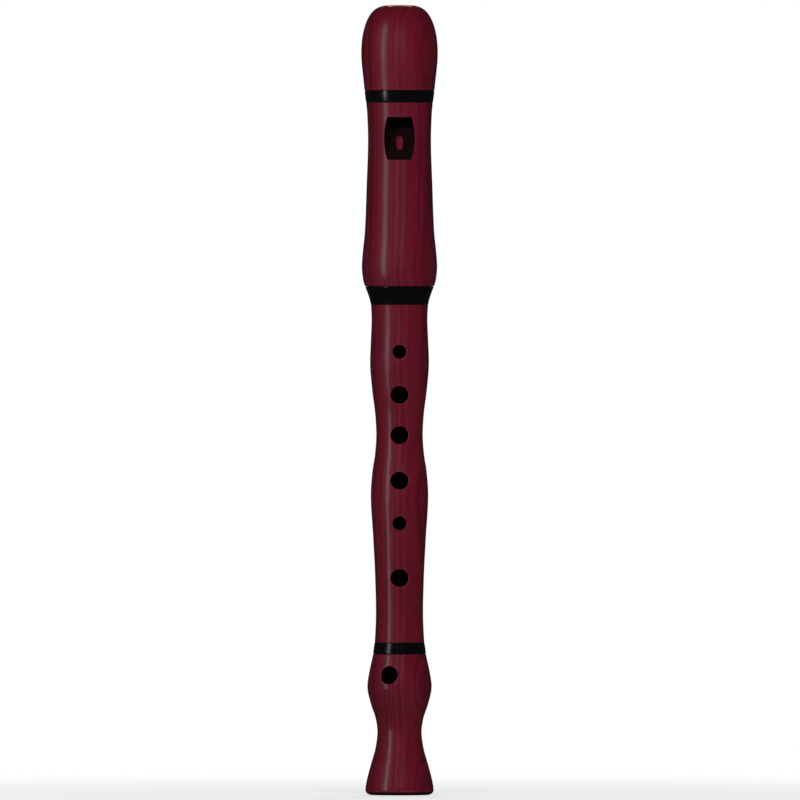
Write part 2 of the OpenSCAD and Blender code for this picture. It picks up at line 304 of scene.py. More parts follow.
class Turned:
    """A turned solid, as rows of points round a profile of (radius, height). The profile runs up from
    the lower end to the upper one, or is closed and runs round the section of a ring."""

    def __init__(self, profile, columns=COLUMNS, closed=False):
        self.profile = profile
        self.columns = columns
        self.closed = closed
        angles = 2 * math.pi * np.arange(columns) / columns
        self.points = [(r * math.sin(a), -r * math.cos(a), z) for r, z in profile for a in angles]
        self.faces = []
        self.left_out = set()

    def index(self, row, column):
        return (row % len(self.profile)) * self.columns + column % self.columns

    def row_at(self, z, low, high):
        """The row nearest to a height, among those that lie on the outline between two heights."""
        rows = [k for k, (r, h) in enumerate(self.profile)
                if low - FIT_GAP <= h <= high + FIT_GAP and abs(r - radius_at(h)) < FIT_GAP]
        return min(rows, key=lambda k: abs(self.profile[k][1] - z))

    def opened(self, row0, row1, column0, column1):
        """Leaves a block of cells out and returns its edge, anticlockwise as seen from outside."""
        for row in range(row0, row1):
            for column in range(column0, column1):
                self.left_out.add((row, column % self.columns))
        edge = [self.index(row0, c) for c in range(column0, column1)]
        edge += [self.index(r, column1) for r in range(row0, row1)]
        edge += [self.index(row1, c) for c in range(column1, column0, -1)]
        edge += [self.index(r, column0) for r in range(row1, row0, -1)]
        return edge

    def add(self, points):
        """Adds points and returns their numbers."""
        first = len(self.points)
        self.points += [tuple(p) for p in points]
        return list(range(first, len(self.points)))

    def bridge(self, outer, inner):
        """Joins two loops of as many points by a strip of faces."""
        for k in range(len(outer)):
            n = (k + 1) % len(outer)
            self.faces.append((outer[k], outer[n], inner[n], inner[k]))

    def inset(self, outer, points):
        """Adds a loop of points, joins it to the loop outside it and returns it."""
        inner = self.add(points)
        self.bridge(outer, inner)
        return inner

    def piece(self, name):
        """The solid as an object, with flat ends unless the profile is closed."""
        rows = len(self.profile) if self.closed else len(self.profile) - 1
        faces = [
            (self.index(r, c), self.index(r, c + 1), self.index(r + 1, c + 1), self.index(r + 1, c))
            for r in range(rows) for c in range(self.columns) if (r, c) not in self.left_out
        ]
        if not self.closed:
            faces.append([self.index(0, c) for c in range(self.columns - 1, -1, -1)])
            faces.append([self.index(len(self.profile) - 1, c) for c in range(self.columns)])
        return link(name, self.points, faces + self.faces)


def spun(points, angle):
    """Points turned about Z."""
    c, s = math.cos(angle), math.sin(angle)
    return [(x * c - y * s, x * s + y * c, z) for x, y, z in points]


def front_point(x, z, drop=0.0):
    """The point on the front of the turned outline at a place across and a height."""
    return x, -(math.sqrt(radius_at(z) ** 2 - x * x) - drop), z


def drill(turned, hole, low, high):
    """Cuts a finger hole with a rounded rim, down to inside the bore."""
    angle, height, radius = hole
    row = turned.row_at(height, low, high)
    column = round(angle / (2 * math.pi) * turned.columns)
    edge = turned.opened(row - HOLE_HALF_ROWS, row + HOLE_HALF_ROWS,
                         column - HOLE_HALF_COLUMNS, column + HOLE_HALF_COLUMNS)
    flat = [(p[0], p[2]) for p in spun([turned.points[k] for k in edge], -angle)]
    turns = [math.atan2(z - height, x) for x, z in flat]
    rim = radius + RIM_SOFT
    for share in (0.22, 0.44, 0.64, 0.8, 0.92, 1.0):
        points = []
        for (x, z), turn in zip(flat, turns):
            across = x * (1 - share) + rim * math.cos(turn) * share
            up = z * (1 - share) + (height + rim * math.sin(turn)) * share
            points.append(front_point(across, up))
        edge = turned.inset(edge, spun(points, angle))
    for bend in np.radians([15, 30, 45, 60, 75, 90]):
        at = radius + RIM_SOFT * (1 - math.sin(bend))
        drop = RIM_SOFT * (1 - math.cos(bend))
        points = [front_point(at * math.cos(t), height + at * math.sin(t), drop) for t in turns]
        edge = turned.inset(edge, spun(points, angle))
    wall = points
    for share in (0.33, 0.66, 1.0):
        points = [(x, y * (1 - share) - HOLE_END * share, z) for x, y, z in wall]
        edge = turned.inset(edge, spun(points, angle))
    turned.faces.append(edge)


def cut_window(turned):
    """Cuts the window and its ramp in the front of the head, down to inside the bore."""
    end_z = block_z - WINDOW_HEIGHT
    edge_z = block_z - WINDOW_OPENING
    middle = (end_z + block_z) / 2
    half_height = WINDOW_HEIGHT / 2
    half_columns, margin_rows, ramp_share = 16, 6, 0.75
    first = turned.row_at(end_z, head_shoulder_z, beak_ring_z[0]) - margin_rows
    last_row = turned.row_at(block_z, head_shoulder_z, beak_ring_z[0]) + margin_rows
    across_count = 2 * half_columns
    # The outline's sides get as many points as the grid's rows beside it, most of them along the ramp.
    rows = last_row - first
    ramp_rows = round(rows * ramp_share)
    edge = turned.opened(first, last_row, -half_columns, half_columns)
    flat = [(turned.points[k][0], turned.points[k][2]) for k in edge]
    side = list(np.linspace(end_z, edge_z, ramp_rows + 1))
    side += list(np.linspace(edge_z, block_z, rows - ramp_rows + 1)[1:])

    def half_width(z):
        return WINDOW_WIDTH / 2 - WINDOW_BOW * ((z - middle) / half_height) ** 2

    def outline(grow):
        """The window's edge, grown by a distance, anticlockwise from the lower left corner."""
        heights = [middle + (z - middle) * (half_height + grow) / half_height for z in side]
        widths = [half_width(z) + grow for z in side]
        shares = np.linspace(-1, 1, across_count + 1)
        made = [(widths[0] * s, heights[0]) for s in shares[:-1]]
        made += list(zip(widths, heights))[:-1]
        made += [(widths[-1] * s, heights[-1]) for s in shares[:0:-1]]
        made += [(-w, h) for w, h in list(zip(widths, heights))[:0:-1]]
        return made

    rim = outline(WINDOW_SOFT)
    for share in (0.25, 0.5, 0.75, 1.0):
        points = [front_point(x * (1 - share) + rx * share, z * (1 - share) + rz * share)
                  for (x, z), (rx, rz) in zip(flat, rim)]
        edge = turned.inset(edge, points)
    for bend in np.radians([22.5, 45, 67.5, 90]):
        drop = WINDOW_SOFT * (1 - math.cos(bend))
        points = [front_point(x, z, drop) for x, z in outline(WINDOW_SOFT * (1 - math.sin(bend)))]
        edge = turned.inset(edge, points)

    def ramp(z):
        share = np.clip((z - end_z) / (edge_z - end_z), 0, 1)
        return -(RAMP_OUTER + (EDGE_OUTER - RAMP_OUTER) * share)

    wall = points
    for share in (0.33, 0.66, 1.0):
        points = [(x, y * (1 - share) + ramp(z) * share, z) for x, y, z in wall]
        edge = turned.inset(edge, points)
    # The ramp's own rows run between the two sides of the cut.
    count = len(edge)
    lower = edge[:across_count + 1]
    for k in range(1, ramp_rows + 1):
        z, width = side[k], half_width(side[k])
        inner = [(width * s, ramp(z), z) for s in np.linspace(-1, 1, across_count + 1)[1:-1]]
        upper = [edge[count - k]] + turned.add(inner) + [edge[across_count + k]]
        for j in range(across_count):
            turned.faces.append((lower[j], lower[j + 1], upper[j + 1], upper[j]))
        lower = upper
    right = [edge[across_count + k] for k in range(ramp_rows + 1, rows)]
    top = [edge[across_count + rows + k] for k in range(across_count + 1)]
    left = [edge[count - k] for k in range(rows - 1, ramp_rows, -1)]
    opening = lower + right + top + left
    places = [turned.points[k] for k in opening]
    turned.faces.append(turned.inset(opening, [(x, -CUT_END, z) for x, _, z in places]))


# ---- Tools that cut, and what they leave ----

def bore_tool(profile):
    """A round tool that cuts a bore, from a profile of (radius, height)."""
    return Turned(profile, BORE_COLUMNS).piece("tool")


def prism(width, points):
    """A prism across the instrument from points of (distance in front of the axis, height)."""
    count = len(points)
    made = [(-width / 2, -y, z) for y, z in points] + [(width / 2, -y, z) for y, z in points]
    faces = [tuple(range(count)), tuple(range(2 * count - 1, count - 1, -1))]
    faces += [(k, k + count, (k + 1) % count + count, (k + 1) % count) for k in range(count)]
    piece = link("tool", made, faces)
    work = bmesh.new()
    work.from_mesh(piece.data)
    bmesh.ops.recalc_face_normals(work, faces=work.faces)
    work.to_mesh(piece.data)
    work.free()
    return piece


def combined(piece, tool, operation="DIFFERENCE"):
    """Applies one boolean to a piece and removes the tool."""
    step = piece.modifiers.new("combine", "BOOLEAN")
    step.operation = operation
    step.solver = "EXACT"
    step.object = tool
    graph = bpy.context.evaluated_depsgraph_get()
    made = bpy.data.meshes.new_from_object(piece.evaluated_get(graph), depsgraph=graph)
    piece.modifiers.clear()
    old, piece.data = piece.data, made
    made.name = piece.name
    bpy.data.meshes.remove(old)
    bpy.data.objects.remove(tool)
    return piece


def windway_tool(low, bevelled):
    """A tool for the windway's roof, from a height to past the tip, with a bevel at the window if asked."""
    high = tip_z + PAST
    points = [(CUT_END, low), (WINDWAY_ROOF, low), (WINDWAY_ROOF, high), (CUT_END, high)]
    if bevelled:
        bevel_out = WINDWAY_ROOF + WINDWAY_BEVEL
        points[1:2] = [(bevel_out, low), (bevel_out, block_z), (WINDWAY_ROOF, block_z + WINDWAY_BEVEL)]
    return prism(WINDWAY_WIDTH, points)


def outside_normals(points):
    """Outward normals of the turned outline at points on it."""
    around = np.hypot(points[:, 0], points[:, 1])
    normals = np.column_stack([points[:, 0] / around, points[:, 1] / around, -slope_at(points[:, 2])])
    return normals / np.linalg.norm(normals, axis=1)[:, None]


def outside_depth(points):
    """How far points lie under the turned outline."""
    return radius_at(points[:, 2]) - np.hypot(points[:, 0], points[:, 1])


def finished(piece, depth_of, normals_of, low, high, sharp=35):
    """Shades a piece: true normals where it lies on its outer form, and smooth ones by angle elsewhere.
    The depth under that form, in millimetres, goes into an attribute that the materials read."""
    on_form_within, turn_allowed = 0.02 * MM, math.radians(40)
    mesh = piece.data
    mesh.validate()
    for face in mesh.polygons:
        face.use_smooth = True
    mesh.set_sharp_from_angle(angle=math.radians(sharp))
    points = points_of(piece)
    depth = depth_of(points)
    stored = mesh.attributes.new("depth", "FLOAT", "POINT")
    stored.data.foreach_set("value", (depth / MM).astype(np.float32))
    on_form = (abs(depth) < on_form_within) & (points[:, 2] > low) & (points[:, 2] < high)
    corners = values_of(mesh.loops, "vertex_index", kind=np.int32)
    true = normals_of(points)[corners]
    normals = values_of(mesh.corner_normals, "vector", 3)
    face_sizes = values_of(mesh.polygons, "loop_total", kind=np.int32)
    face_normals = np.repeat(values_of(mesh.polygons, "normal", 3), face_sizes, axis=0)
    agrees = (face_normals * true).sum(1) > math.cos(turn_allowed)
    chosen = on_form[corners] & agrees
    normals[chosen] = true[chosen]
    mesh.normals_split_custom_set(normals)
    return piece


def no_depth(points):
    return np.zeros(len(points))


# ---- The pieces ----

def make_foot():
    """The foot: the bell, the lowest hole, a spigot for the ring, and a bore from peg to socket."""
    waist_z = 30 * MM
    outer = outer_run(foot_edge_z, foot_shoulder_z)
    bell = [(outer[0][0] - BELL_EDGE_WIDTH * (1 - math.sin(a)), foot_edge_z * (1 - math.cos(a)))
            for a in np.radians(np.arange(0, 90, 7.5))]
    top = foot_ring_z[1]
    profile = bell + outer + [(foot_spigot_r, foot_shoulder_z), (foot_spigot_r, top)]
    shoulder = len(bell) + len(outer) - 1
    turned = Turned(softened(profile, {shoulder: SEAM_SOFT}))
    for hole in holes_of("foot_joint", waist_z, foot_shoulder_z):
        drill(turned, hole, foot_edge_z, foot_shoulder_z)
    socket_end = middle_z[0] - SOCKET_END_GAP
    tool = bore_tool([
        (peg_r + PEG_BEVEL + PAST, -PAST), (peg_r, PEG_BEVEL), (peg_r, peg_depth),
        (foot_bore_r, peg_depth + PEG_CONE), (foot_bore_r, socket_end), (foot_socket_r, socket_end),
        (foot_socket_r, top - FOOT_SOCKET_BEVEL), (foot_socket_r + FOOT_SOCKET_BEVEL + PAST, top + PAST),
    ])
    piece = combined(turned.piece("foot_joint_turned"), tool)
    return finished(piece, outside_depth, outside_normals, foot_edge_z, foot_shoulder_z)


def tenon(low, high, radius, cork):
    """Profile points of a tenon with the groove that a CAD node of cork fills."""
    cork_low, cork_high = span_of(cork)
    groove = radii_near(cork, cork_low)[0]
    return [(radius, low), (radius, cork_low), (groove, cork_low),
            (groove, cork_high), (radius, cork_high), (radius, high)]


def make_middle():
    """The middle: six front holes, the thumb hole, a grooved tenon at each end, and a tapering bore."""
    low, high = foot_ring_z[1], head_ring_z[0]
    bottom, top = middle_z
    lower = tenon(bottom, low, lower_tenon_r, "lower_tenon_cork")
    upper = tenon(high, top, upper_tenon_r, "upper_tenon_cork")
    outer = outer_run(low, high)
    profile = [(lower_tenon_r - PAST, bottom)] + lower + outer + upper + [(upper_tenon_r - PAST, top)]
    first, last = 1 + len(lower), len(lower) + len(outer)
    corners = {1: TENON_SOFT, first: SEAM_SOFT, last: SEAM_SOFT, len(profile) - 2: TENON_SOFT}
    turned = Turned(softened(profile, corners))
    for hole in holes_of("middle_joint", low, high):
        drill(turned, hole, low, high)
    drift = (upper_bore_r - lower_bore_r) / (top - bottom) * BORE_BEVEL
    tool = bore_tool([
        (lower_bore_r + BORE_BEVEL + PAST, bottom - PAST), (lower_bore_r + drift, bottom + BORE_BEVEL),
        (upper_bore_r - drift, top - BORE_BEVEL), (upper_bore_r + BORE_BEVEL + PAST, top + PAST),
    ])

    def depth(points):
        height = points[:, 2]
        ends = [lower_tenon_r, upper_tenon_r]
        surface = np.select([height <= low, height >= high], ends, radius_at(height))
        return surface - np.hypot(points[:, 0], points[:, 1])

    piece = combined(turned.piece("middle_joint_turned"), tool)
    return finished(piece, depth, outside_normals, low, high)


def make_head():
    """The head: the window, spigots for the rings and the beak, a socket, and the windway's roof."""
    low, high = head_shoulder_z, beak_ring_z[0]
    bottom, top = head_z
    outer = outer_run(low, high)
    profile = [(head_spigot_r, bottom), (head_spigot_r, low)] + outer
    profile += [(beak_spigot_r, high), (beak_spigot_r, top)]
    first, last = 2, 1 + len(outer)
    turned = Turned(softened(profile, {first: SEAM_SOFT, last: SEAM_SOFT}))
    cut_window(turned)
    piece = turned.piece("head_joint_turned")
    socket_end = middle_z[1] + SOCKET_END_GAP
    combined(piece, bore_tool([
        (head_socket_r + HEAD_SOCKET_BEVEL + PAST, bottom - PAST),
        (head_socket_r, bottom + HEAD_SOCKET_BEVEL), (head_socket_r, socket_end),
        (head_bore_r, socket_end), (head_bore_r, top + PAST),
    ]))
    edge_z = block_z - WINDOW_OPENING
    combined(piece, windway_tool(block_z - WINDOW_OPENING / 2, True))
    combined(piece, prism(WINDWAY_WIDTH, [
        (CUT_END, edge_z - EDGE_FLAT), (EDGE_INNER, edge_z - EDGE_FLAT),
        (EDGE_INNER, edge_z + PAST), (CUT_END, edge_z + PAST),
    ]))
    return finished(piece, outside_depth, outside_normals, low, high)


def beak_distance(points):
    """Signed distance to the beak's form: the turned outline with its rounded end, less the hollow
    at its back."""
    x, y, z = points.T
    around = np.hypot(x, y)
    turned = (around - radius_at(z)) / np.sqrt(1 + slope_at(z) ** 2)
    up = np.maximum(z - crest_z, 0) / (tip_z - crest_z)
    out = around / crest_r
    form = up ** 2 + out ** BEAK_SQUARENESS - 1
    rise = np.hypot(2 * up / (tip_z - crest_z), BEAK_SQUARENESS * out ** (BEAK_SQUARENESS - 1) / crest_r)
    dome = form / np.maximum(rise, 1)
    outer = np.where(z > crest_z, dome, turned)
    cut = BEAK_CUT_RADIUS - np.hypot(y - BEAK_CUT_BACK - BEAK_CUT_RADIUS, z - tip_z)
    both = np.hypot(np.maximum(outer + BEAK_SOFT, 0), np.maximum(cut + BEAK_SOFT, 0)) - BEAK_SOFT
    return np.where((outer > -BEAK_SOFT) & (cut > -BEAK_SOFT), both, np.maximum(outer, cut))


def beak_normals(points):
    """Outward normals of the beak's form."""
    step = 0.02 * MM
    slopes = [beak_distance(points + step * way) - beak_distance(points - step * way) for way in np.eye(3)]
    normals = np.column_stack(slopes)
    return normals / np.maximum(np.linalg.norm(normals, axis=1), 1e-12)[:, None]


def beak_form(low, name):
    """The beak's whole form, solid, from a height to the tip. Each row is found along rays from inside it,
    level ones up to the cap and, for the cap, tilted ones from a centre in front of the hollow."""
    columns = BEAK_COLUMNS
    cap_z, centre_y = tip_z - 9 * MM, -5 * MM
    level_rows, tilted_rows, halvings = 110, 60, 40
    bends = np.radians([0, 22.5, 45, 67.5])
    soft = list(low + SEAM_SOFT * (1 - np.cos(bends)))
    heights = soft + list(np.linspace(low + SEAM_SOFT, cap_z, level_rows))
    turns = 2 * math.pi * np.arange(columns) / columns
    around = np.column_stack([np.sin(turns), -np.cos(turns), np.zeros(columns)])
    starts, ways = [], []
    for z in heights:
        share = np.clip((z - beak_ring_z[1]) / (cap_z - beak_ring_z[1]), 0, 1)
        starts += [(0, centre_y * share, z)] * columns
        ways.append(around)
    tilts = np.radians(np.linspace(0, 90, tilted_rows + 2)[1:-1])
    for tilt in tilts:
        starts += [(0, centre_y, cap_z)] * columns
        ways.append(around * math.cos(tilt) + np.array([0, 0, math.sin(tilt)]))
    starts = np.array(starts + [(0, centre_y, cap_z)])
    ways = np.vstack(ways + [np.array([[0, 0, 1.0]])])
    near, far = np.zeros(len(starts)), np.full(len(starts), 30 * MM)
    for _ in range(halvings):
        middle = (near + far) / 2
        outside = beak_distance(starts + ways * middle[:, None]) > 0
        far = np.where(outside, middle, far)
        near = np.where(outside, near, middle)
    points = starts + ways * near[:, None]
    for row, bend in enumerate(bends):
        part = slice(row * columns, (row + 1) * columns)
        points[part] -= around * SEAM_SOFT * (1 - math.sin(bend))
    rows = len(heights) + len(tilts)
    faces = []
    for r in range(rows - 1):
        for c in range(columns):
            n = (c + 1) % columns
            faces.append((r * columns + c, r * columns + n, (r + 1) * columns + n, (r + 1) * columns + c))
    top = (rows - 1) * columns
    faces += [(top + c, top + (c + 1) % columns, len(points) - 1) for c in range(columns)]
    faces.append(list(range(columns - 1, -1, -1)))
    return link(name, points, faces)


def beak_depth(points):
    return -beak_distance(points)


def make_beak():
    """The beak: bored for the head's spigot and for the block, with its part of the windway's roof."""
    low = beak_ring_z[1]
    piece = beak_form(low, "beak_carved")
    combined(piece, bore_tool([
        (beak_spigot_r, low - PAST), (beak_spigot_r, head_z[1]),
        (head_bore_r, head_z[1]), (head_bore_r, tip_z + PAST),
    ]))
    combined(piece, windway_tool(low - PAST, False))
    return finished(piece, beak_depth, beak_normals, low + SEAM_SOFT / 2, tip_z + PAST)


def make_block():
    """The plug: a round bar with a flat floor as wide as the windway, cut flush with the beak."""
    radius = head_bore_r - FIT_GAP
    half = WINDWAY_WIDTH / 2 - FIT_GAP
    meets = math.sqrt(radius ** 2 - half ** 2)
    turn = math.atan2(half, meets)
    section = [(half * s, -WINDWAY_FLOOR) for s in np.linspace(-1, 1, 9)]
    section += [(radius * math.sin(a), -radius * math.cos(a))
                for a in np.linspace(turn, 2 * math.pi - turn, BORE_COLUMNS)]
    count = len(section)
    heights = [block_z, tip_z + 2 * PAST]
    points = [(x, y, z) for z in heights for x, y in section]
    faces = [(k, (k + 1) % count, (k + 1) % count + count, k + count) for k in range(count)]
    faces += [list(range(count - 1, -1, -1)), list(range(count, 2 * count))]
    piece = link("block_plug", points, faces)
    combined(piece, prism(WINDWAY_WIDTH + 2 * PAST, [
        (WINDWAY_FLOOR + PAST, block_z - PAST), (WINDWAY_FLOOR + PAST, block_z + WINDWAY_BEVEL + PAST),
        (WINDWAY_FLOOR - WINDWAY_BEVEL - PAST, block_z - PAST),
    ]))
    combined(piece, beak_form(block_z - 4 * PAST, "tool"), "INTERSECT")
    return finished(piece, beak_depth, beak_normals, block_z + PAST, tip_z + PAST)


def make_ring(node):
    """A socket's or the beak's ring, with a slight crown and softened edges."""
    low, high = span_of(node)
    bore = radii_near(node, low)[0]
    outer = outer_run(low, high, RING_CROWN)
    profile = [(bore, low)] + outer + [(bore, high)]
    profile = softened(profile, {1: RING_SOFT, len(outer): RING_SOFT}, steps=6)
    piece = Turned(profile, closed=True).piece(node + "_polished")
    return finished(piece, no_depth, outside_normals, 1, 1)


def make_cork(node):
    """A cork lapping: grainy, a little uneven, with the slanting line where its ends meet."""
    low, high = span_of(node)
    inner, outer = radii_near(node, low)
    rows = round((high - low) / (0.3 * MM))
    profile = [(inner, low)]
    profile += [(outer, low + (high - low) * k / rows) for k in range(rows + 1)]
    profile += [(inner, high)]
    profile = softened(profile, {1: SEAM_SOFT, len(profile) - 2: SEAM_SOFT})
    piece = Turned(profile, columns=CORK_COLUMNS, closed=True).piece(node + "_lapping")
    count, base, hollow = 40, 0.05 * MM, 0.14 * MM
    seam_turn, seam_rise, seam_width, seam_depth = 0.9, 14 * MM, 0.16 * MM, 0.22 * MM
    rng = np.random.default_rng(7)
    waves = rng.uniform(-1, 1, (count, 3)) * np.array([2.2, 2.2, 1.6]) / MM
    phases = rng.uniform(0, 2 * math.pi, count)
    points = points_of(piece)
    bumps = np.sin(points @ waves.T + phases).mean(1)
    around = np.arctan2(points[:, 0], -points[:, 1])
    from_seam = around - seam_turn - (points[:, 2] - low) / seam_rise
    from_seam = (from_seam + math.pi) % (2 * math.pi) - math.pi
    seam = np.exp(-(from_seam * outer / seam_width) ** 2)
    radius = np.hypot(points[:, 0], points[:, 1])
    outside = radius > outer - 0.05 * MM
    sink = base + hollow * np.clip(bumps, -0.3, 1) + seam_depth * seam
    scale = np.where(outside, (radius - np.maximum(sink, 0)) / radius, 1)
    points[:, :2] *= scale[:, None]
    piece.data.vertices.foreach_set("co", points.ravel())
    return finished(piece, no_depth, outside_normals, 1, 1, sharp=60)


# ---- Materials ----

class Nodes:
    """Short calls for building a material's nodes."""

    def __init__(self, name):
        self.material = bpy.data.materials.new(name)
        self.material.use_nodes = True
        self.tree = self.material.node_tree
        self.shader = self.tree.nodes["Principled BSDF"]
        self.place = self.add("ShaderNodeTexCoord").outputs["Object"]

    def add(self, kind, **settings):
        node = self.tree.nodes.new(kind)
        for key, value in settings.items():
            setattr(node, key, value)
        return node

    def feed(self, socket, value):
        if isinstance(value, bpy.types.NodeSocket):
            self.tree.links.new(value, socket)
        else:
            socket.default_value = value

    def scaled(self, scale):
        node = self.add("ShaderNodeMapping")
        node.inputs["Scale"].default_value = scale
        self.feed(node.inputs["Vector"], self.place)
        return node.outputs["Vector"]

    def noise(self, place, scale, detail, roughness=0.5, output="Fac"):
        """Noise at a place, or along a line if the place is a single number."""
        on_line = place.type == "VALUE"
        node = self.add("ShaderNodeTexNoise", noise_dimensions="1D" if on_line else "3D")
        self.feed(node.inputs["W" if on_line else "Vector"], place)
        node.inputs["Scale"].default_value = scale
        node.inputs["Detail"].default_value = detail
        node.inputs["Roughness"].default_value = roughness
        return node.outputs[output]

    def cells(self, place, scale, feature):
        node = self.add("ShaderNodeTexVoronoi", feature=feature)
        self.feed(node.inputs["Vector"], place)
        node.inputs["Scale"].default_value = scale
        return node.outputs

    def vectors(self, operation, *values):
        node = self.add("ShaderNodeVectorMath", operation=operation)
        for socket, value in zip(node.inputs, values):
            self.feed(socket, value)
        return node.outputs["Value" if operation in ("LENGTH", "DISTANCE", "DOT_PRODUCT") else "Vector"]

    def maths(self, operation, a, b=0.0, c=0.0, clamp=False):
        node = self.add("ShaderNodeMath", operation=operation, use_clamp=clamp)
        for socket, value in zip(node.inputs, (a, b, c)):
            self.feed(socket, value)
        return node.outputs[0]

    def ranged(self, value, low, high, to_low=0.0, to_high=1.0, smooth=True):
        node = self.add("ShaderNodeMapRange", interpolation_type="SMOOTHSTEP" if smooth else "LINEAR")
        for name, number in (("From Min", low), ("From Max", high), ("To Min", to_low), ("To Max", to_high)):
            node.inputs[name].default_value = number
        self.feed(node.inputs["Value"], value)
        return node.outputs["Result"]

    def mixed(self, share, a, b):
        node = self.add("ShaderNodeMix", data_type="RGBA")
        self.feed(node.inputs[0], share)
        self.feed(node.inputs[6], a)
        self.feed(node.inputs[7], b)
        return node.outputs[2]

    def attribute(self, name):
        return self.add("ShaderNodeAttribute", attribute_name=name).outputs["Fac"]

    def bump(self, height, strength, distance, below=None):
        node = self.add("ShaderNodeBump")
        node.inputs["Strength"].default_value = strength
        node.inputs["Distance"].default_value = distance
        self.feed(node.inputs["Height"], height)
        if below is not None:
            self.feed(node.inputs["Normal"], below)
        return node.outputs["Normal"]

    def surface(self, colour, roughness, normal, **settings):
        self.feed(self.shader.inputs["Base Color"], colour)
        self.feed(self.shader.inputs["Roughness"], roughness)
        self.feed(self.shader.inputs["Normal"], normal)
        for key, value in settings.items():
            self.feed(self.shader.inputs[key.replace("_", " ").title().replace("Ior", "IOR")], value)
        return self.material


def shade(*srgb):
    """An sRGB colour, 0 to 255, as the linear colour that nodes take."""
    linear = [((c / 255 + 0.055) / 1.055) ** 2.4 if c > 10 else c / 255 / 12.92 for c in srgb]
    return (*linear, 1.0)


def unshaded_ramp_patch(n):
    """The middle of the window's ramp, which the painted shade leaves in the wood's own colour, as the lit
    part between the ramp's shaded sides and foot.
    """
    half_width, half_height, below_windway = 1.38 * MM, 2.8 * MM, 10.8 * MM
    axes = n.add("ShaderNodeSeparateXYZ")
    n.feed(axes.inputs[0], n.place)
    x = n.maths("ABSOLUTE", n.maths("DIVIDE", axes.outputs[0], half_width))
    up = n.maths("SUBTRACT", axes.outputs[2], block_z - below_windway)
    z = n.maths("ABSOLUTE", n.maths("DIVIDE", up, half_height))
    reach = n.maths("ADD", n.maths("POWER", x, 3), n.maths("POWER", z, 3))
    in_front = n.maths("LESS_THAN", axes.outputs[1], -EDGE_INNER)
    # The patch's mask, in which the painted shade is left off.
    return n.maths("MULTIPLY", n.ranged(reach, 0.6, 1.4, 1.0, 0.0), in_front)


def stained_wood():
    """Dark burgundy stain in fine-grained hardwood, under a satin lacquer, with painted shade that makes the
    cut surfaces under the outline nearly black.
    """
    n = Nodes("stained_wood")
    drift = n.noise(n.scaled((1, 1, 0.06)), 60, 2, output="Color")
    bent = n.vectors("MULTIPLY_ADD", drift, (0.006, 0.006, 0), n.scaled((1, 1, 0.012)))
    from_heart = n.vectors("DISTANCE", bent, (0.055, -0.03, 0))
    late = n.ranged(n.noise(from_heart, 620, 3, 0.55), 0.42, 0.66)
    streaks = n.noise(n.scaled((1, 1, 0.02)), 1500, 3, 0.6)
    fibres = n.noise(n.scaled((1, 1, 0.03)), 6500, 2, 0.6)
    pores = n.ranged(n.noise(n.scaled((1, 1, 0.055)), 4600, 1, 0.4), 0.66, 0.73)
    cloud = n.noise(n.scaled((1, 1, 0.35)), 45, 3)
    tone = n.maths("MULTIPLY", late, -0.3)
    tone = n.maths("MULTIPLY_ADD", streaks, 0.5, tone)
    tone = n.maths("MULTIPLY_ADD", fibres, 0.3, tone)
    tone = n.maths("MULTIPLY_ADD", cloud, 0.4, tone)
    colour = n.mixed(n.ranged(tone, 0.05, 0.85), shade(68, 7, 22), shade(98, 13, 34))
    colour = n.mixed(n.maths("MULTIPLY", pores, 0.5), colour, shade(34, 4, 12))
    depth = n.attribute("depth")
    rubbed = n.maths("MULTIPLY", n.ranged(depth, 0.0, 0.04), n.ranged(depth, 0.04, 0.2, 1.0, 0.0))
    rubbed = n.maths("MULTIPLY", rubbed, n.ranged(n.noise(n.place, 400, 3, 0.6), 0.35, 0.7, 0.1, 0.5))
    colour = n.mixed(rubbed, colour, shade(140, 52, 62))
    # Painted shade: every surface cut below the turned outline, such as the finger holes' walls, the window
    # and its ramp, and the bores, is painted nearly black. The same share also takes the lacquer off these
    # cut surfaces.
    bare_cut_and_painted_shade = n.ranged(depth, 0.04, 0.6)
    inside = n.maths("MULTIPLY", bare_cut_and_painted_shade, n.maths("SUBTRACT", 1.0, unshaded_ramp_patch(n)))
    # Painted shade: nearly black on the cut surfaces, except the patch in the middle of the ramp.
    colour = n.mixed(n.maths("MULTIPLY", inside, 0.98), colour, shade(6, 2, 3))
    wear = n.noise(n.place, 90, 5, 0.6)
    roughness = n.ranged(wear, 0.3, 0.7, 0.34, 0.46)
    roughness = n.maths("MULTIPLY_ADD", pores, 0.12, roughness)
    roughness = n.maths("MULTIPLY_ADD", inside, 0.3, roughness, clamp=True)
    ripple = n.bump(n.noise(n.place, 160, 3), 0.1, 0.0004)
    grain = n.bump(n.maths("MULTIPLY_ADD", pores, -0.8, fibres), 0.18, 0.00004, ripple)
    lacquer = n.ranged(bare_cut_and_painted_shade, 0.0, 1.0, 0.4, 0.0, smooth=False)
    return n.surface(colour, roughness, grain, specular_ior_level=0.35,
                     coat_weight=lacquer, coat_roughness=0.2, coat_ior=1.5)


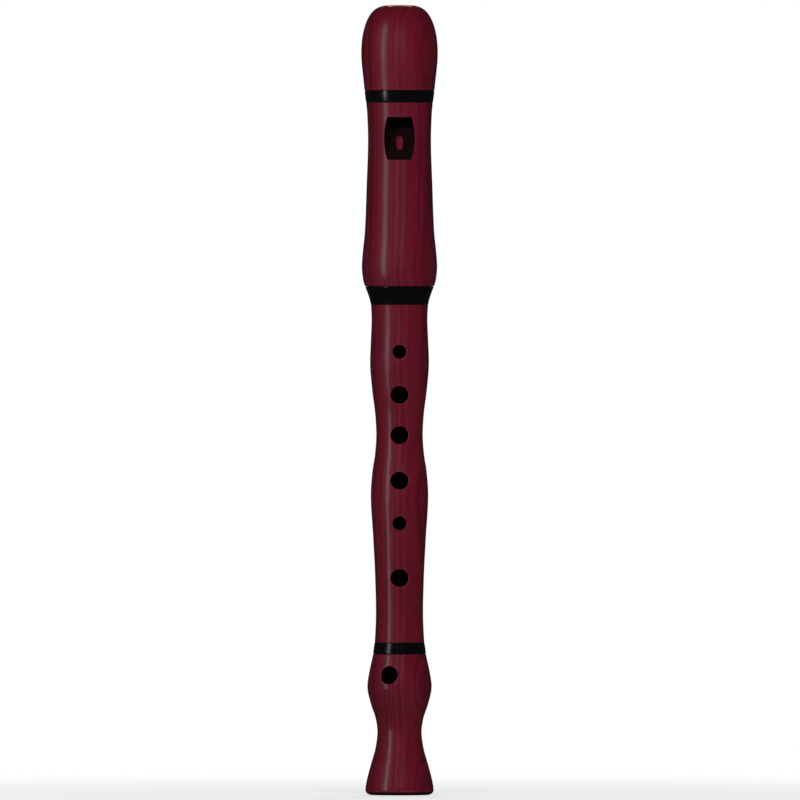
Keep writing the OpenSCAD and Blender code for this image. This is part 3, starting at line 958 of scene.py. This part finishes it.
def cedar():
    """Bare planed cedar with straight growth lines."""
    n = Nodes("block_cedar")
    across = n.vectors("DOT_PRODUCT", n.scaled((1, 1, 0.02)), (0.94, 0.34, 0))
    drift = n.noise(n.scaled((1, 1, 0.1)), 90, 2)
    growth = n.noise(n.maths("MULTIPLY_ADD", drift, 0.004, across), 1900, 2)
    lines = n.ranged(growth, 0.46, 0.62)
    fine = n.noise(n.scaled((1, 1, 0.02)), 7000, 3, 0.65)
    tone = n.maths("MULTIPLY_ADD", fine, 0.45, n.maths("MULTIPLY", lines, 0.45))
    colour = n.mixed(tone, shade(200, 150, 106), shade(140, 86, 52))
    worn = n.noise(n.place, 120, 4)
    colour = n.mixed(n.ranged(worn, 0.5, 0.75, 0.0, 0.25), colour, shade(128, 84, 56))
    roughness = n.ranged(fine, 0.3, 0.7, 0.62, 0.78)
    return n.surface(colour, roughness, n.bump(n.maths("ADD", fine, lines), 0.3, 0.00006))


def black_ring():
    """Polished black with faint turning lines and small scuffs."""
    n = Nodes("black_ring")
    turned = n.noise(n.scaled((0.02, 0.02, 1)), 9000, 2)
    scuffs = n.noise(n.scaled((1, 1, 0.4)), 700, 6, 0.7)
    smudge = n.noise(n.place, 110, 3)
    colour = n.mixed(n.ranged(scuffs, 0.6, 0.8, 0.0, 0.35), shade(7, 6, 7), shade(22, 20, 21))
    roughness = n.ranged(smudge, 0.3, 0.7, 0.14, 0.22)
    roughness = n.maths("MULTIPLY_ADD", n.ranged(scuffs, 0.55, 0.75), 0.12, roughness)
    return n.surface(colour, roughness, n.bump(turned, 0.15, 0.00002), specular_ior_level=0.5)


def cork():
    """Sanded cork: pale grains with dark lines between them and a few deep pits."""
    n = Nodes("tenon_cork")
    drift = n.noise(n.place, 1300, 3, output="Color")
    warped = n.vectors("MULTIPLY_ADD", drift, (0.0008, 0.0008, 0.0008), n.place)
    each = n.add("ShaderNodeSeparateColor")
    n.feed(each.inputs[0], n.cells(warped, 1900, "F1")["Color"])
    to_edge = n.cells(warped, 1900, "DISTANCE_TO_EDGE")["Distance"]
    cloud = n.noise(n.place, 260, 3)
    tone = n.maths("MULTIPLY_ADD", each.outputs[0], 0.6, n.maths("MULTIPLY", cloud, 0.4))
    colour = n.mixed(tone, shade(204, 160, 110), shade(166, 118, 74))
    line = n.ranged(to_edge, 0.0, 0.12, 1.0, 0.0)
    colour = n.mixed(n.maths("MULTIPLY", line, 0.35), colour, shade(118, 78, 46))
    pits = n.ranged(n.noise(n.scaled((1, 1, 0.4)), 900, 2), 0.65, 0.7)
    colour = n.mixed(n.maths("MULTIPLY", pits, 0.8), colour, shade(74, 46, 28))
    height = n.maths("SUBTRACT", n.ranged(to_edge, 0.0, 0.2), n.maths("MULTIPLY", pits, 1.5))
    roughness = n.ranged(each.outputs[1], 0, 1, 0.8, 0.95)
    return n.surface(colour, roughness, n.bump(height, 0.4, 0.00008), specular_ior_level=0.2)


# ---- The set ----

def make_camera():
    """Level with the middle of the instrument and square to its front, from so far that lines stay level."""
    low, high = cad_box
    share_filled, side_step = 0.9875, 0.2 * MM
    data = bpy.data.cameras.new("camera")
    data.lens = 1200
    data.sensor_width = 36
    distance = data.lens / data.sensor_width * (high.z - low.z) / share_filled
    camera = bpy.data.objects.new("camera", data)
    camera.location = (side_step, -distance, (low.z + high.z) / 2)
    camera.rotation_euler = (math.pi / 2, 0, 0)
    data.clip_end = 100
    bpy.context.scene.collection.objects.link(camera)
    bpy.context.scene.camera = camera


def make_floor():
    """A pale floor that runs into the white of the surroundings."""
    half = 7.0
    corners = [(-half, -half, 0), (half, -half, 0), (half, half, 0), (-half, half, 0)]
    floor = link("floor", corners, [(0, 1, 2, 3)])
    n = Nodes("floor")
    mottle = n.noise(n.place, 3, 4)
    colour = n.mixed(mottle, (0.84, 0.84, 0.84, 1), (0.9, 0.9, 0.9, 1))
    seen = n.add("ShaderNodeLightPath").outputs["Is Camera Ray"]
    colour = n.mixed(seen, (0.55, 0.55, 0.55, 1), colour)
    n.feed(n.shader.inputs["Base Color"], colour)
    n.shader.inputs["Roughness"].default_value = 0.7
    n.shader.inputs["Specular IOR Level"].default_value = 0.1
    glow = n.add("ShaderNodeEmission")
    glow.inputs["Color"].default_value = (1, 1, 1, 1)
    blend = n.add("ShaderNodeMixShader")
    whiter = n.ranged(n.vectors("LENGTH", n.place), 0.1, 0.7, 0.5, 1.0)
    n.feed(blend.inputs[0], n.maths("MULTIPLY", whiter, seen))
    n.feed(blend.inputs[1], n.shader.outputs[0])
    n.feed(blend.inputs[2], glow.outputs[0])
    n.feed(n.tree.nodes["Material Output"].inputs["Surface"], blend.outputs[0])
    floor.data.materials.append(n.material)
    floor.visible_glossy = False


def add_light(name, azimuth, elevation, distance, width, height, power, glossy=True):
    """A soft panel that faces the middle of the instrument and doesn't show itself."""
    data = bpy.data.lights.new(name, "AREA")
    data.shape = "RECTANGLE"
    data.size = width
    data.size_y = height
    data.energy = power
    light = bpy.data.objects.new(name, data)
    a, e = math.radians(azimuth), math.radians(elevation)
    middle = (cad_box[0] + cad_box[1]) / 2
    away = Vector((math.sin(a) * math.cos(e), -math.cos(a) * math.cos(e), math.sin(e)))
    light.location = middle + away * distance
    light.rotation_mode = "QUATERNION"
    light.rotation_quaternion = away.to_track_quat("Z", "Y")
    light.visible_camera = False
    light.visible_glossy = glossy
    bpy.context.scene.collection.objects.link(light)


def make_world():
    """White to the camera, and a dim even light on the instrument, so that its dark sides stay dark."""
    world = bpy.data.worlds.new("world")
    bpy.context.scene.world = world
    world.use_nodes = True
    tree = world.node_tree
    background = tree.nodes["Background"]
    path = tree.nodes.new("ShaderNodeLightPath")
    glossy = tree.nodes.new("ShaderNodeMix")
    glossy.data_type = "FLOAT"
    glossy.inputs[2].default_value = 0.09
    glossy.inputs[3].default_value = 0.02
    tree.links.new(path.outputs["Is Glossy Ray"], glossy.inputs[0])
    seen = tree.nodes.new("ShaderNodeMix")
    seen.data_type = "FLOAT"
    tree.links.new(path.outputs["Is Camera Ray"], seen.inputs[0])
    tree.links.new(glossy.outputs[0], seen.inputs[2])
    seen.inputs[3].default_value = 1.0
    tree.links.new(seen.outputs[0], background.inputs["Strength"])
    background.inputs["Color"].default_value = (1, 1, 1, 1)


def place(piece, node, body, slot, material):
    """Puts a piece in a CAD node's stead, on its body, with the given material as its only one. The slot is
    not used.
    """
    piece.data.materials.clear()
    piece.data.materials.append(material)
    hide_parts(node)
    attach(piece, body)


make_camera()
make_floor()
make_world()
add_light("strip", azimuth=-50, elevation=12, distance=1.4, width=0.22, height=1.2, power=3)
add_light("front", azimuth=0, elevation=18, distance=1.8, width=1.1, height=1.0, power=31, glossy=False)
add_light("back", azimuth=180, elevation=40, distance=1.8, width=1.2, height=1.0, power=25, glossy=False)

wood_finish, cedar_finish, black_finish, cork_finish = stained_wood(), cedar(), black_ring(), cork()
place(make_foot(), "foot_joint", "foot", "stained_wood", wood_finish)
place(make_middle(), "middle_joint", "middle", "stained_wood", wood_finish)
place(make_head(), "head_joint", "head", "stained_wood", wood_finish)
place(make_beak(), "beak", "head", "stained_wood", wood_finish)
place(make_block(), "block", "block", "block_wood", cedar_finish)
ring_bodies = {"foot_socket_ring": "foot_ring", "head_socket_ring": "head_ring", "beak_ring": "head"}
for node, body in ring_bodies.items():
    place(make_ring(node), node, body, "black_ring", black_finish)
for node in ("upper_tenon_cork", "lower_tenon_cork"):
    place(make_cork(node), node, "middle", "tenon_cork", cork_finish)

bpy.context.scene.view_settings.view_transform = "Standard"
